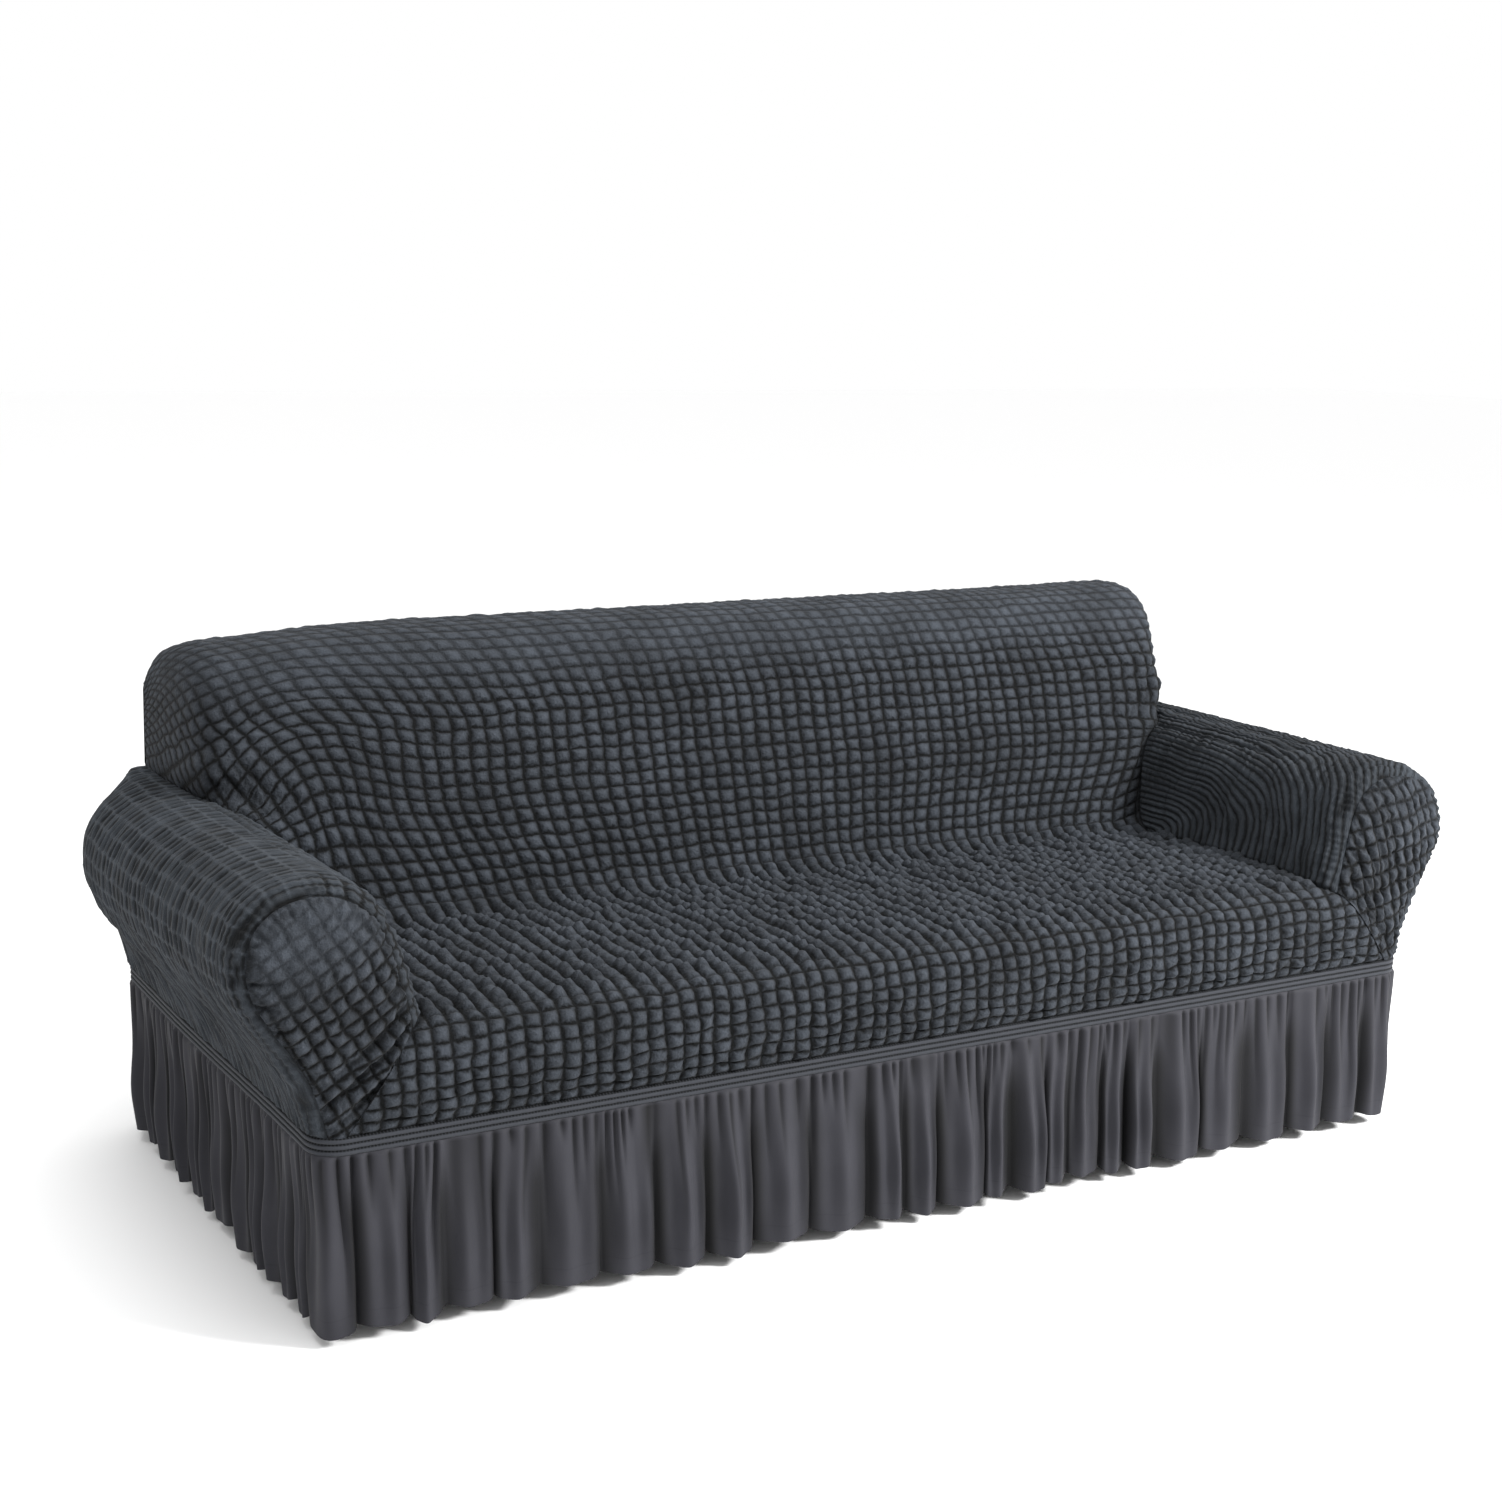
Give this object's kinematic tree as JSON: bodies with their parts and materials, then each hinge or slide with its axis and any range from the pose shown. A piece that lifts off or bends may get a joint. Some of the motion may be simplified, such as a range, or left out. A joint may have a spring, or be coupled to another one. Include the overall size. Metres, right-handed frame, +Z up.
{
  "type": "fitted sofa slipcover",
  "caption": "Fitted stretch slipcover for a sofa with rolled arms: hollow and open underneath, with an elastic band round its base and a gathered skirt below it.",
  "frame": {"origin": "a point just under the top of the back, at the middle of its length, where the sofa inside carries the cover", "axes": "+X along the sofa's length to the viewer's right, +Y from the seat's front to the rear, +Z up"},
  "size_m": [2.2486, 1.0064, 0.8735],
  "materials": {
    "bubble_stretch_cloth": "matt charcoal stretch cloth with a raised grid of small puffed squares",
    "ribbed_elastic": "matt grey stitched elastic with three raised ribs",
    "plain_polyester_cloth": "smooth plain-woven polyester with a faint sheen"
  },
  "bodies": {
    "root": {"seat_back_panel": "bubble_stretch_cloth", "outside_back_panel": "bubble_stretch_cloth", "arm_panel_left": "bubble_stretch_cloth", "arm_panel_right": "bubble_stretch_cloth", "arm_front_left": "bubble_stretch_cloth", "arm_front_right": "bubble_stretch_cloth", "elastic_band": "ribbed_elastic", "skirt": "plain_polyester_cloth"}
  },
  "joints": []
}
